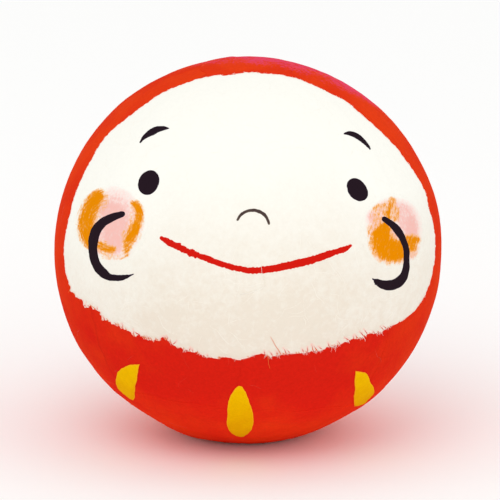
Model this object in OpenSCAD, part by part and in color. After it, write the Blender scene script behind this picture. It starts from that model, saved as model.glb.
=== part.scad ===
// Round daruma doll of papier-mache and torn washi paper.
// Standing on its flat foot at z = 0, with the face towards -Y. Millimetres.

/* [Ball] */
// Diameter of the finished ball
ball_d = 90; // [60:1:150]
// Diameter of the flat foot, as a share of the ball's diameter
foot_share = 0.255; // [0.2:0.005:0.3]
// Wall of the papier-mache shells
wall_t = 1.8; // [1.2:0.1:2.6]

/* [Paper] */
// Thickness of the red washi covering
washi_t = 0.3; // [0.2:0.05:0.5]
// Thickness of the white face paper
face_t = 0.25; // [0.15:0.05:0.4]
// Thickness of a yellow petal
petal_t = 0.2; // [0.1:0.05:0.4]
// Thickness of a brushed film of ink or colour
paint_t = 0.1; // [0.05:0.05:0.2]

/* [Face] */
// Upward tilt of the face
face_tilt = 15; // [0:1:20]

/* [Covering] */
// Latitude where the strips meet the crown paper
crown_lat = 76; // [70:1:80]
// Latitude where the strips meet the base paper
base_lat = -40; // [-50:1:-35]

/* [Inside] */
// Diameter of the mould's stem hole in the bottom
stem_d = 12; // [8:1:14]
// Height of the clay weight over the inner floor
clay_h = 9; // [6:0.5:12]
// Radius of the clay's domed top
dome_r = 65; // [55:1:90]
// Width of the paper band across the joint of the shells
seam_w = 12; // [8:1:16]

/* [Hidden] */
$fn = 120;

STRIPS = 7;                              // red strips round the ball
DRAWN_D = 90;                            // ball diameter that the face is drawn for
k = ball_d / DRAWN_D;                    // drawing scale
ball_r = ball_d / 2;
foot_r = ball_d * foot_share / 2;
ball_z = sqrt(ball_r ^ 2 - foot_r ^ 2);  // height of the ball's centre over its foot
shell_r = ball_r - washi_t;              // outside of the papier-mache
hollow_r = shell_r - wall_t;             // inside of the papier-mache
floor_z = washi_t + wall_t;              // inner floor over the foot
face_r = ball_r + face_t;                // outside of the face paper
crown_z = ball_z + ball_r * sin(crown_lat);
base_z = ball_z + ball_r * sin(base_lat);
dome_z = floor_z + clay_h - dome_r;      // centre of the clay's domed top
reach = ball_d;                          // longer than anything it cuts

red = "#E03214";
white = "#F8F3E8";
yellow = "#E6B400";
ink = "#281A24";
card = "#C9B79A";

// The face is drawn flat, seen straight on: X to the doll's left side, Y up. Each outline is
// projected along the face's axis onto the ball.
face_line = [
    [0, 41], [9.5, 40], [19, 36.5], [27.5, 30.5], [34, 24], [39.5, 16.5], [42.5, 8],
    [43.4, 1.5], [43, -4.5], [41, -10.5], [37, -15.3], [31.2, -18.1], [22.6, -21],
    [15, -23.3], [6.3, -24.4], [4.2, -24.1], [2.8, -23.7], [1.2, -24], [-0.6, -24.8],
    [-2.7, -25.1], [-5.5, -24.4], [-7, -24.7], [-10.5, -24], [-14.6, -23.1], [-17.3, -21.7],
    [-19.6, -20.1], [-21.2, -20.7], [-26.6, -18.8], [-30, -17.5], [-32.4, -16.2],
    [-34.6, -13.9], [-36.2, -12.5], [-37.3, -13.3], [-38.7, -11.4], [-40.8, -9],
    [-42.4, -3], [-42, 4], [-39.5, 14], [-34, 24.5], [-26, 32], [-14, 38.8]
];
// Strokes of the brush: [x, y, width]
brow_l_line = [
    [-24.8, 24.9, 0.3], [-23.7, 26.2, 1], [-22.3, 27.2, 1.45], [-20.9, 27.9, 1.45],
    [-19.5, 28.2, 1], [-18.2, 28.2, 0.3]
];
brow_r_line = [
    [22.3, 26.9, 0.3], [23.3, 27, 0.95], [24.7, 26.6, 1.2], [26.1, 25.7, 1.1],
    [27.5, 24.3, 0.75], [28.2, 23.3, 0.3]
];
nose_line = [
    [-2.3, 7, 0.55], [-1.5, 8.2, 0.65], [0.1, 9, 0.65], [1.9, 9.1, 0.75], [3.7, 8.3, 0.75],
    [4.5, 7.2, 0.65], [4.9, 6.1, 0.45]
];
mouth_line = [
    [-19.8, 2.8, 1], [-17.6, 1.6, 1.5], [-13.9, -0.2, 1.5], [-10.2, -1.6, 1.35],
    [-6.6, -3, 1.35], [-2.9, -4, 1.3], [0.8, -4.6, 1.45], [4.4, -4.4, 1.6], [8.1, -3.8, 1.7],
    [11.7, -3, 1.8], [15.4, -2, 1.7], [19.1, -0.7, 1.55], [22.3, 0.3, 1.3], [23.8, 1.1, 0.6]
];
curl_l_line = [
    [-28.9, 8.4, 1.4], [-31.2, 7.6, 1.8], [-33.3, 6.5, 2.1], [-34.9, 4.7, 2.4],
    [-35.6, 2.8, 2.5], [-35.8, 1, 2.2], [-35.7, -0.4, 2.1], [-35.3, -2.2, 2.1],
    [-34.5, -4, 2.1], [-33.1, -5.5, 2], [-31.7, -6.2, 1.5], [-29.8, -6.4, 1.4],
    [-28, -6.1, 0.9], [-26.3, -5.5, 0.2]
];
curl_r_line = [
    [31.5, 7.2, 1.2], [33.4, 5.8, 1.6], [35, 4, 1.75], [36, 2.1, 1.5], [36.6, 0.1, 1.5],
    [36.7, -2, 1.5], [36.6, -4, 1.7], [36.1, -5.8, 1.95], [35.2, -7, 2.2], [34, -7.8, 2.4],
    [32.6, -8.1, 2.4], [31.2, -7.9, 2], [29.8, -7.3, 1.4], [28.9, -6.6, 0.4]
];
// Ovals: [x, y, half width, half height, lean to the doll's left side in degrees]
eye_l_oval = [-22.8, 15.6, 2.3, 2.95, 26];
eye_r_oval = [25.3, 14, 2.1, 2.95, -38];
cheek_l_oval = [-31.7, 6, 7.6, 8.4, 0];
cheek_r_oval = [33.6, 4.4, 6.4, 7.5, 0];
// Petals: the left and right ones have one straight side, from the last point to the first
petal_l_line = [
    [-25, -26.4], [-27.8, -26.7], [-30, -28.2], [-30.6, -30.6], [-29.6, -32.8], [-26.6, -34.9]
];
petal_m_line = [
    [-1.6, -31.3], [-3.9, -33.6], [-4.7, -37.5], [-4.6, -41.3], [-1.8, -43.3], [0.9, -41.6],
    [1.2, -38.5], [0.2, -34.4]
];
petal_r_line = [
    [24.7, -36.4], [27.4, -35.4], [29.2, -33], [28.5, -30.4], [27.4, -28.5], [25, -27.9]
];

// Point at t on the Catmull-Rom span from b to c
function on_span(a, b, c, d, t) =
    ((2 * b) + (c - a) * t + (2 * a - 5 * b + 4 * c - d) * t ^ 2
    + (3 * b - a - 3 * c + d) * t ^ 3) / 2;

function closed_curve(p, steps = 4) =
    let (n = len(p))
    [for (i = [0:n - 1], s = [0:steps - 1])
        on_span(p[(i + n - 1) % n], p[i], p[(i + 1) % n], p[(i + 2) % n], s / steps)];

function open_curve(p, steps = 4) =
    let (n = len(p))
    [for (i = [0:n - 2], s = [0:(i == n - 2 ? steps : steps - 1)])
        on_span(p[max(i - 1, 0)], p[i], p[i + 1], p[min(i + 2, n - 1)], s / steps)];

// Point beside centre point i of a stroke, on one side (1) or the other (-1)
function beside(c, i, side) =
    let (a = c[max(i - 1, 0)], b = c[min(i + 1, len(c) - 1)], d = [b.x - a.x, b.y - a.y] / 2)
    [c[i].x - side * d.y / norm(d) * c[i].z / 2, c[i].y + side * d.x / norm(d) * c[i].z / 2];

function stroke(p) =
    let (c = open_curve(p), last = len(c) - 1)
    concat([for (i = [0:last]) beside(c, i, 1)], [for (i = [last:-1:0]) beside(c, i, -1)]);

function oval(o, steps = 28) =
    [for (i = [0:steps - 1])
        let (a = 360 * i / steps, x = o[2] * cos(a), y = o[3] * sin(a))
        [o.x + x * cos(o[4]) + y * sin(o[4]), o.y - x * sin(o[4]) + y * cos(o[4])]];

module ball(r) {
    translate([0, 0, ball_z]) sphere(r);
}

// Layer of the ball between two radii
module layer(inner_r, outer_r) {
    difference() {
        ball(outer_r);
        ball(inner_r);
    }
}

// All that lies between two heights
module slab(low, high) {
    translate([0, 0, low]) cylinder(h = high - low, r = reach);
}

// Part of a layer that an outline on the flat face drawing covers
module on_face(points, inner_r, thickness) {
    intersection() {
        layer(inner_r, inner_r + thickness);
        translate([0, 0, ball_z]) rotate([90 - face_tilt, 0, 0])
            linear_extrude(reach) polygon(k * points);
    }
}

// All that lies over the inner floor and within the shells
module hollow() {
    intersection() {
        ball(hollow_r);
        slab(floor_z, reach);
    }
}

module dome(extra) {
    translate([0, 0, dome_z]) sphere(dome_r + extra);
}

module upper_shell() {
    color(card) intersection() {
        layer(hollow_r, shell_r);
        slab(ball_z, 2 * reach);
    }
}

module lower_shell() {
    color(card) difference() {
        intersection() {
            ball(shell_r);
            slab(washi_t, ball_z);
        }
        hollow();
        cylinder(h = reach / 4, d = stem_d);
    }
}

module seam_strip() {
    color(white) intersection() {
        layer(hollow_r - washi_t, hollow_r);
        slab(ball_z - seam_w / 2, ball_z + seam_w / 2);
    }
}

module base_weight() {
    color("#8A7258") intersection() {
        hollow();
        dome(0);
    }
}

module weight_paper() {
    color(white) intersection() {
        hollow();
        difference() {
            dome(washi_t);
            dome(0);
        }
    }
}

module foot_card() {
    color(card) translate([0, 0, washi_t]) cylinder(h = wall_t, d = stem_d);
}

module foot_patch() {
    color(red) intersection() {
        ball(ball_r);
        slab(0, washi_t);
    }
}

// One strip of the red covering, numbered from the doll's middle round to its left side
module red_strip(number) {
    turn = 360 / STRIPS;
    far = 2 * reach;
    color(red) intersection() {
        layer(shell_r, ball_r);
        slab(base_z, crown_z);
        rotate([0, 0, -90 + (number - 1) * turn])
            linear_extrude(far) polygon([[0, 0], [far, 0], far * [cos(turn), sin(turn)]]);
    }
}

module crown_paper() {
    color(red) intersection() {
        layer(shell_r, ball_r);
        slab(crown_z, 2 * reach);
    }
}

module base_paper() {
    color(red) intersection() {
        layer(shell_r, ball_r);
        slab(washi_t, base_z);
    }
}

module face_paper() {
    color(white) on_face(closed_curve(face_line), ball_r, face_t);
}

module petal_left() {
    color(yellow) on_face(open_curve(petal_l_line), ball_r, petal_t);
}

module petal_middle() {
    color(yellow) on_face(closed_curve(petal_m_line), ball_r, petal_t);
}

module petal_right() {
    color(yellow) on_face(open_curve(petal_r_line), ball_r, petal_t);
}

// A film of ink or colour brushed on the face paper
module film(points) {
    on_face(points, face_r, paint_t);
}

module brow_left() {
    color(ink) film(stroke(brow_l_line));
}

module brow_right() {
    color(ink) film(stroke(brow_r_line));
}

module eye_left() {
    color(ink) film(oval(eye_l_oval));
}

module eye_right() {
    color(ink) film(oval(eye_r_oval));
}

module nose() {
    color(ink) film(stroke(nose_line));
}

module mouth() {
    color("#D81A12") film(stroke(mouth_line));
}

module curl_left() {
    color(ink) film(stroke(curl_l_line));
}

module curl_right() {
    color(ink) film(stroke(curl_r_line));
}

// The cheek's colour lies round the curl that is brushed across it
module cheek(points, curl_line) {
    color("#F2A93C") difference() {
        film(points);
        translate([0, 0, ball_z]) rotate([90 - face_tilt, 0, 0])
            linear_extrude(reach) polygon(k * stroke(curl_line));
    }
}

module cheek_left() {
    cheek(oval(cheek_l_oval), curl_l_line);
}

module cheek_right() {
    cheek(oval(cheek_r_oval), curl_r_line);
}

upper_shell();
lower_shell();
seam_strip();
base_weight();
weight_paper();
foot_card();
foot_patch();
red_strip(1);  // red_strip_1
red_strip(2);  // red_strip_2
red_strip(3);  // red_strip_3
red_strip(4);  // red_strip_4
red_strip(5);  // red_strip_5
red_strip(6);  // red_strip_6
red_strip(7);  // red_strip_7
crown_paper();
base_paper();
face_paper();
petal_left();
petal_middle();
petal_right();
brow_left();
brow_right();
eye_left();
eye_right();
nose();
mouth();
curl_left();
curl_right();
cheek_left();
cheek_right();
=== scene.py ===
import math

import bpy
import numpy as np
from bpy.props import FloatProperty, FloatVectorProperty, IntProperty, PointerProperty
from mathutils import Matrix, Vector, geometry, kdtree


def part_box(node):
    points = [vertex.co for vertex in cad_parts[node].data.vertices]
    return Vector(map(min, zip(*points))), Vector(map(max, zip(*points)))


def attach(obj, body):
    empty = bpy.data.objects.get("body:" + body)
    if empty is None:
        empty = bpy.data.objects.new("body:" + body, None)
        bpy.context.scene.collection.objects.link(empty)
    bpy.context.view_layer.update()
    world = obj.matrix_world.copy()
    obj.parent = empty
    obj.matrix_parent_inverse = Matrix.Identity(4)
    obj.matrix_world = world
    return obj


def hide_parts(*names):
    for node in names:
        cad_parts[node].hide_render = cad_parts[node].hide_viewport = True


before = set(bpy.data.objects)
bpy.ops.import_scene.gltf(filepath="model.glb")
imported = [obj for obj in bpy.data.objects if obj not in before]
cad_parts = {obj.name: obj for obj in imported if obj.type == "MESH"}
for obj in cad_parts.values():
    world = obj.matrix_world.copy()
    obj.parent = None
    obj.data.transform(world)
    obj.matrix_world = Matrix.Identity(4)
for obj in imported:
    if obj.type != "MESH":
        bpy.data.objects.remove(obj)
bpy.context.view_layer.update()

bl_info = {
    "name": "Washi daruma doll",
    "version": (1, 0, 0),
    "blender": (4, 5, 0),
    "location": "3D View > Sidebar > Daruma",
    "description": "A round daruma doll of papier-mache, covered in torn and painted washi paper",
    "category": "Add Mesh",
}

MM = 0.001
CELLULOSE_IOR = 1.47
FLOOR_SIDE = 6.0                                   # in m

# Sizes that the CAD model sets, in mm
UPPER_LOW, UPPER_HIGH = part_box("upper_shell")
FOOT_LOW, FOOT_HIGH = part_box("foot_patch")
CENTRE = np.array([0, 0, UPPER_LOW.z / MM])        # the ball's centre over the foot
SHELL_R = (UPPER_HIGH.z - UPPER_LOW.z) / MM        # outside of the papier-mache
WASHI_T = (FOOT_HIGH.z - FOOT_LOW.z) / MM          # the red covering
BALL_R = SHELL_R + WASHI_T
FOOT_R = FOOT_HIGH.x / MM                          # the foot patch's rim
# Radii at which the face paper, the cheeks' washes and the ink are drawn
PAPER_SEEN, WASH_SEEN, INK_SEEN = BALL_R + 0.1, BALL_R + 0.4, BALL_R + 0.45
CROWN_LAT = math.asin((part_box("crown_paper")[0].z / MM - CENTRE[2]) / BALL_R)
BASE_LAT = math.asin((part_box("base_paper")[1].z / MM - CENTRE[2]) / BALL_R)
STRIPS = 7
TURN = 2 * math.pi / STRIPS
# How thin each strip's torn edge is: pale where it is feathered out; a negative value paints shade along the
# fold
STRIP_EDGES = (0, -0.1, 0.6, 0.5, 0.6, 0.45, -0.9)
# How pale each strip took the dye
STRIP_TONES = (-0.6, -0.4, 0.8, -0.4, 0.6, -0.5, -0.6)
# How deep a red sheet, and a film of ink, sink into what they lie on, in mm
SUNK, FILM_SUNK = 0.03, 0.04

# The face is drawn flat, seen straight on along an axis that looks up by this angle: x to the
# right of the drawing, y up, in mm. These are the CAD model's outlines.
FACE_TILT = math.radians(15)
FACE_AXES = np.array([
    [1, 0, 0],
    [0, math.sin(FACE_TILT), math.cos(FACE_TILT)],
    [0, -math.cos(FACE_TILT), math.sin(FACE_TILT)],
])
FACE_LINE = [
    (0, 41), (9.5, 40), (19, 36.5), (27.5, 30.5), (34, 24), (39.5, 16.5), (42.5, 8),
    (43.4, 1.5), (43, -4.5), (41, -10.5), (37, -15.3), (31.2, -18.1), (22.6, -21),
    (15, -23.3), (6.3, -24.4), (4.2, -24.1), (2.8, -23.7), (1.2, -24), (-0.6, -24.8),
    (-2.7, -25.1), (-5.5, -24.4), (-7, -24.7), (-10.5, -24), (-14.6, -23.1), (-17.3, -21.7),
    (-19.6, -20.1), (-21.2, -20.7), (-26.6, -18.8), (-30, -17.5), (-32.4, -16.2), (-34.6, -13.9),
    (-36.2, -12.5), (-37.3, -13.3), (-38.7, -11.4), (-40.8, -9), (-42.4, -3), (-42, 4),
    (-39.5, 14), (-34, 24.5), (-26, 32), (-14, 38.8),
]
# Brush strokes: (x, y, width)
BROW_LEFT = [
    (-24.8, 24.9, 0.3), (-23.7, 26.2, 1), (-22.3, 27.2, 1.45), (-20.9, 27.9, 1.45), (-19.5, 28.2, 1),
    (-18.2, 28.2, 0.3),
]
BROW_RIGHT = [
    (22.3, 26.9, 0.3), (23.3, 27, 0.95), (24.7, 26.6, 1.2), (26.1, 25.7, 1.1), (27.5, 24.3, 0.75),
    (28.2, 23.3, 0.3),
]
NOSE = [
    (-2.3, 7, 0.55), (-1.5, 8.2, 0.65), (0.1, 9, 0.65), (1.9, 9.1, 0.75), (3.7, 8.3, 0.75),
    (4.5, 7.2, 0.65), (4.9, 6.1, 0.45),
]
MOUTH = [
    (-19.8, 2.8, 1), (-17.6, 1.6, 1.5), (-13.9, -0.2, 1.5), (-10.2, -1.6, 1.35), (-6.6, -3, 1.35),
    (-2.9, -4, 1.3), (0.8, -4.6, 1.45), (4.4, -4.4, 1.6), (8.1, -3.8, 1.7), (11.7, -3, 1.8),
    (15.4, -2, 1.7), (19.1, -0.7, 1.55), (22.3, 0.3, 1.3), (23.8, 1.1, 0.6),
]
CURL_LEFT = [
    (-28.9, 8.4, 1.4), (-31.2, 7.6, 1.8), (-33.3, 6.5, 2.1), (-34.9, 4.7, 2.4), (-35.6, 2.8, 2.5),
    (-35.8, 1, 2.2), (-35.7, -0.4, 2.1), (-35.3, -2.2, 2.1), (-34.5, -4, 2.1), (-33.1, -5.5, 2),
    (-31.7, -6.2, 1.5), (-29.8, -6.4, 1.4), (-28, -6.1, 0.9), (-26.3, -5.5, 0.2),
]
CURL_RIGHT = [
    (31.5, 7.2, 1.2), (33.4, 5.8, 1.6), (35, 4, 1.75), (36, 2.1, 1.5), (36.6, 0.1, 1.5),
    (36.7, -2, 1.5), (36.6, -4, 1.7), (36.1, -5.8, 1.95), (35.2, -7, 2.2), (34, -7.8, 2.4),
    (32.6, -8.1, 2.4), (31.2, -7.9, 2), (29.8, -7.3, 1.4), (28.9, -6.6, 0.4),
]
# Ovals: (x, y, half width, half height, lean to the right in degrees)
EYE_LEFT = (-22.8, 15.6, 2.3, 2.95, 26)
EYE_RIGHT = (25.3, 14, 2.1, 2.95, -38)
CHEEK_LEFT = (-31.7, 6, 8.8, 9.6, 0)
CHEEK_RIGHT = (33.6, 4.4, 7.6, 8.8, 0)
PETAL_LEFT = [
    (-25, -26.4), (-27.8, -26.7), (-30, -28.2), (-30.6, -30.6), (-29.6, -32.8), (-26.6, -34.9),
]
PETAL_MIDDLE = [
    (-1.6, -31.3), (-3.9, -33.6), (-4.7, -37.5), (-4.6, -41.3), (-1.8, -43.3), (0.9, -41.6),
    (1.2, -38.5), (0.2, -34.4),
]
PETAL_RIGHT = [
    (24.7, -36.4), (27.4, -35.4), (29.2, -33), (28.5, -30.4), (27.4, -28.5), (25, -27.9),
]
# The cheeks' strokes, from the cheek's middle. Each is its strength, then its (x, y, width)
LEFT_ORANGE = [
    (1.35, [(-2.6, 6.6, 2.9), (-3.8, 5.1, 3.9), (-4.8, 3.4, 4.1), (-5.3, 1.8, 4.1), (-5.5, 0.1, 4.1),
            (-5.6, -1.5, 3.8), (-5.3, -3.1, 3.2), (-4.8, -4.8, 2)]),
    (1.25, [(5.7, 4.6, 2), (6.8, 3.4, 2.4), (6.7, 1.8, 2.1), (6.4, 0.5, 2.2), (5.8, -0.9, 2.7),
            (5.1, -2.2, 3), (4.6, -3.2, 2.7)]),
    (1.05, [(4.6, -3.4, 2.7), (4.1, -4.6, 2.5), (3.8, -5.8, 1.8)]),
    (0.8, [(3.9, -5, 1.7), (3.7, -7.1, 1.3)]),
    (1.05, [(-2.2, -4.8, 2.1), (-1.2, -5.6, 2.5), (0.1, -5.9, 2), (0.9, -5.7, 1.2)]),
    (0.5, [(-1.4, 6.6, 1.8), (-1.2, 5.2, 1.8), (-2.2, 3.8, 1.8)]),
    (0.5, [(-3.2, 3.2, 2.6), (-3.8, 1.2, 2.8)]),
    (0.45, [(5.5, 1.8, 2), (5, -0.6, 2.4), (3.8, -2.8, 2.6)]),
    (0.45, [(-1.6, -7.4, 1), (1, -7.6, 1), (3.4, -7.5, 1)]),
    (0.6, [(5.2, -3.6, 1.7), (6.2, -2.6, 1.7)]),
    (0.5, [(4.8, -4.6, 1.5), (4.2, -5.8, 1.4)]),
]
LEFT_PINK = [
    (0.72, [(-0.6, 5, 5), (1.6, 4.6, 6), (3.4, 3.6, 5)]),
    (1, [(-1, 3.6, 5.6), (1, 2.4, 7.6), (1.4, 0, 9), (1, -3, 8.4), (0.6, -4.8, 5.4)]),
    (0.5, [(0.5, 6.8, 3.6), (3, 6.2, 3.8), (4.8, 4.6, 3)]),
    (0.9, [(-3.4, 5.4, 3.4), (-4.6, 1.6, 4.4), (-4.4, -2.4, 4.4), (-2.4, -5.2, 3.6)]),
    (0.8, [(6, 3.4, 3), (5.8, 0, 3.6), (4.4, -3.6, 3.6)]),
    (0.5, [(-0.6, -6.8, 2.4), (1.6, -7, 2.4), (3.6, -6.6, 2.4)]),
]
RIGHT_ORANGE = [
    (1.38, [(-3.6, -0.6, 3.1), (-3.2, -2.6, 4.2), (-2.2, -4.6, 4.3), (-0.2, -5.2, 4.2), (1.8, -4.9, 4)]),
    (1.38, [(-2, 1.6, 1.6), (-2.2, 0.4, 3.1), (-2.2, -1.4, 4), (-1.4, -3.2, 4), (1, -3.6, 3.6),
           (2.6, -3.4, 3.2)]),
    (1.25, [(3.2, -2, 2.3), (4.4, -2.1, 2.7), (5.4, -2, 1.8)]),
    (1.1, [(3.8, -3.4, 2.6), (4.7, -3.8, 2.2)]),
    (0.85, [(-0.4, 7, 2), (-0.8, 5.6, 2), (-1.1, 4.4, 1.8)]),
    (1.15, [(-0.8, 6, 1), (-1.1, 4.4, 1.2), (-1.3, 3.2, 1.5)]),
    (0.7, [(0.8, 5, 1.4), (0.7, 3.8, 1.4), (0.4, 2.7, 1.3)]),
    (0.7, [(-4.3, 5.2, 1), (-3.2, 5.8, 1.1), (-1.8, 6, 1)]),
    (0.5, [(-4, 4.4, 2.4), (-3.6, 2.2, 2.8), (-4.6, 0.6, 2.6)]),
    (0.58, [(-1.8, 5, 3.8), (-0.6, 3.6, 3.4)]),
    (0.25, [(-0.4, -0.2, 1.8), (0.6, -1.4, 2)]),
    (0.6, [(-5.6, 0.8, 0.9), (-5.4, -1.6, 0.9), (-4.9, -4, 1), (-4.2, -5.6, 1)]),
    (0.45, [(4.6, -4.6, 2.2), (4.8, -6, 1.8)]),
]
RIGHT_PINK = [
    (0.78, [(1.8, 5.4, 3.6), (3.2, 4.4, 4), (4, 2.6, 4.2)]),
    (0.85, [(1.6, 5, 3.2), (2, 3, 3.8), (2.6, 1.2, 3.6)]),
    (1, [(4, 2.4, 3.8), (4.2, 1, 4.2), (4.2, -1.2, 4)]),
    (0.85, [(-3, 4.6, 3.4), (-1.8, 3.2, 3.4)]),
    (0.9, [(-4.6, 3.4, 3.4), (-3.6, 1.4, 4.6), (-4.4, -0.6, 3)]),
    (0.8, [(-2.2, 5.4, 3.2), (0.2, 5.8, 3.6), (0.8, 3.4, 4)]),
    (1, [(-0.5, 0.4, 2.6), (0.6, -1, 2.8)]),
    (0.8, [(4.4, -3.6, 3.2), (4.6, -5.4, 2.6)]),
    (0.7, [(-4.6, -3, 2.2), (-3.4, -5.4, 2.4), (-0.6, -6.4, 2.2), (1.8, -6.2, 2.2)]),
]
# Fibres that lie loose on the papers
WHITE_HAIRS = [[(-1.8, -10), (0.8, -9.6), (3.3, -8.7), (4, -7.2), (3.3, -5.4), (3.2, -2.6)]]
RED_HAIRS = [[(7.6, -23.8), (6.6, -22.2), (5.3, -19.9)], [(4.6, -24), (4.7, -25.6), (5.1, -27)]]
# Where the hand-made ball swells or dips round the face's outer ring: (angle from the drawing's
# right, anticlockwise, in degrees; height in mm; width in degrees)
SWELLS = [
    (14, 0.32, 11), (95, 0.16, 3), (130, 0.12, 6), (209, 0.24, 8), (238, -0.2, 6), (252, 0.36, 6),
    (266, -0.12, 4), (299, -0.2, 8), (349, 0.16, 5),
]


def length(name, description, size, low, high, digits=5):
    """A length property; its sizes are given in mm."""
    return FloatProperty(name=name, description=description, default=size * MM, min=low * MM,
                         max=high * MM, subtype="DISTANCE", unit="LENGTH", precision=digits)


def lamp_power(name, description, power):
    return FloatProperty(name=name, description=description, default=power, min=0, subtype="POWER",
                         unit="POWER")


class DarumaSizes(bpy.types.PropertyGroup):
    """Sizes of the doll's papers, tears and strokes"""
    face_thickness: length("Face paper", "Thickness of the white face paper", 0.25, 0.1, 0.4)
    film: length("Ink film", "How far a brushed stroke stands up from the paper", 0.06, 0.03, 0.1)
    lap: length("Strip overlap", "Width over which a red strip overlaps the next one", 4, 2, 6, 4)
    ridge: length("Overlap height", "How far an overlap of the red paper stands up", 0.1, 0.02, 0.2)
    fringe: length("Fringe", "Length of the fibres along the torn edge of the face", 1.3, 0.2, 3, 4)
    fibre: length("Fibre", "Length of the long fibres that lie in the paper", 8, 3, 14, 4)
    fibre_width: length("Fibre width", "Thickness of one fibre bundle", 0.09, 0.03, 0.2)
    seed: IntProperty(
        name="Seed", description="Seed for the torn edges and the fibres", default=7, min=0)


def srgb(code):
    """Linear colour, with full alpha, of an sRGB hex value."""
    parts = [int(code[i:i + 2], 16) / 255 for i in (1, 3, 5)]
    return tuple(p / 12.92 if p <= 0.04045 else ((p + 0.055) / 1.055) ** 2.4 for p in parts) + (1,)


def swatch(name, description, code):
    return FloatVectorProperty(
        name=name, description=description, default=srgb(code), size=4, subtype="COLOR", min=0, max=1)


class DarumaColours(bpy.types.PropertyGroup):
    """Colours of the doll's papers, inks and washes"""
    # Red: dyed washi, and the painted light towards the crown and the sides
    red: swatch("Red", "Dyed washi round the sides", "#E33C13")
    # Deep red: dyed washi where two sheets overlap, and the painted shade low on the front
    red_deep_and_shade: swatch("Deep red", "Dyed washi low on the front, and where two sheets overlap", "#D42013")
    red_thin: swatch("Thin red", "Torn edges of the dyed washi, where the dye is thin", "#EC6E50")
    # Pink: the painted sheen at the crown
    crown_sheen_pink: swatch("Pink bloom", "Thin, pinkish dye at the crown", "#E4466C")
    white: swatch("White", "Undyed washi of the face", "#F8F7EF")
    # Warm white: fibre-rich patches of the face paper, and the painted shade low on the face
    white_warm_and_shade: swatch("Warm white", "Fibre-rich, yellower patches of the face paper", "#E9DFD0")
    edge_pink: swatch("Thin edge", "Torn edge, where the red shows through", "#F3C4B8")
    yellow: swatch("Yellow", "Yellow washi of the petals", "#F0C000")
    # Deep yellow: the darker patches towards the petals' foot
    yellow_deep: swatch("Deep yellow", "Thicker colour in the petals' middle and foot", "#E9B000")
    yellow_thin: swatch("Thin yellow", "Rim of the petals, where the dye is thin", "#F8B620")
    ink: swatch("Ink", "Black ink", "#241820")
    ink_thin: swatch("Thin ink", "Ink where the brush ran dry", "#4B3C3A")
    vermilion: swatch("Vermilion", "Red ink of the mouth", "#CE1A10")
    orange: swatch("Orange", "Orange cheek colour", "#E68900")
    orange_thin: swatch("Thin orange", "Orange cheek colour where the brush ran dry", "#F3B15C")
    pink: swatch("Pink", "Pink cheek colour", "#F7D2CC")
    pink_deep: swatch("Deep pink", "Pink cheek colour where it lies thickest", "#F1BBB2")
    floor: swatch("Floor", "Pale studio floor", "#FEFEFD")


class DarumaStage(bpy.types.PropertyGroup):
    """Camera and lights"""
    distance: FloatProperty(
        name="Camera distance", description="From the camera to the ball's centre",
        default=2.5, min=0.5, max=5, subtype="DISTANCE", unit="LENGTH")
    elevation: FloatProperty(
        name="Camera elevation", description="Height of the camera over the horizon",
        default=math.radians(15), min=0, max=math.radians(60), subtype="ANGLE", unit="ROTATION")
    frame_width: length("Picture width", "Width that the picture takes in at the ball", 116.5, 95, 300, 4)
    ambient: FloatProperty(
        name="Ambient light", description="Strength of the even white light all round",
        default=0.93, min=0, max=2)
    key: lamp_power("Key light", "Power of the large soft light above the front", 1.9)
    fill: lamp_power("Fill light", "Power of the soft light on the doll's left", 0.8)
    low_fill: lamp_power("Low light", "Power of the soft light in front, near the floor", 0.9)


# ---------------------------------------------------------------- the ball as a hand-made surface


def unit(v):
    return v / np.linalg.norm(v, axis=-1, keepdims=True)


def waves(points, size, seed, count=14):
    """Smooth, seeded ups and downs, mostly between -1 and 1, of about the given size in mm."""
    rng = np.random.default_rng(seed)
    way = unit(rng.normal(size=(count, 3)))
    pitch = 2 * np.pi / (size * rng.uniform(0.7, 1.5, count))
    start = rng.uniform(0, 2 * np.pi, count)
    return np.cos(points @ (way * pitch[:, None]).T + start).sum(-1) / math.sqrt(count)


def smooth(value, low, high):
    """0 below low, 1 above high, and an even curve between."""
    t = np.clip((value - low) / (high - low), 0, 1)
    return t * t * (3 - 2 * t)


def towards(azimuth, latitude):
    """Unit directions from the ball's centre; azimuth 0 is the front and grows to the doll's left."""
    azimuth, latitude = np.broadcast_arrays(azimuth, latitude)
    return np.stack([np.cos(latitude) * np.sin(azimuth), -np.cos(latitude) * np.cos(azimuth),
                     np.sin(latitude)], -1)


def swell(way):
    """How far the hand-made ball stands off a true one, in mm."""
    rise = 0.05 + 0.05 * waves(way * BALL_R, 28, seed=3)
    for clock, height, width in SWELLS:
        peak = math.cos(math.radians(clock)) * FACE_AXES[0] + math.sin(math.radians(clock)) * FACE_AXES[1]
        angle = np.degrees(np.arccos(np.clip(way @ peak, -1, 1)))
        rise = rise + height * np.exp(-(angle / width) ** 2)
    return rise


def seam_laps(way, sizes):
    """Extra height over the strips' overlaps, in mm."""
    lap, ridge = sizes.lap / MM, sizes.ridge / MM
    azimuth = np.arctan2(way[..., 0], -way[..., 1])
    latitude = np.arcsin(np.clip(way[..., 2], -1, 1))
    off = (azimuth / TURN - np.round(azimuth / TURN)) * TURN * BALL_R * np.cos(latitude)
    seam = 1 - smooth(np.abs(off), lap / 2, lap / 2 + 1.5)
    low = smooth(latitude, BASE_LAT - 0.05, BASE_LAT + 0.05)
    return ridge * seam * low


def red_top(way):
    """Radius of the red covering's surface, without its overlaps."""
    points = way * BALL_R
    crease = 1 - np.abs(waves(points, 14, seed=21))
    crease = 0.05 * smooth(crease, 0.86, 1.0) * smooth(waves(points, 26, seed=22), 0, 0.8)
    return BALL_R + swell(way) + 0.012 * waves(points, 2.6, seed=5) + crease


def face_top(way, sizes):
    """Radius of the face paper's surface."""
    points = way * BALL_R
    ripple = 0.018 * waves(points, 3.4, seed=11) + 0.012 * waves(points, 1.7, seed=12)
    return BALL_R + swell(way) + seam_laps(way, sizes) + sizes.face_thickness / MM + ripple


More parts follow.
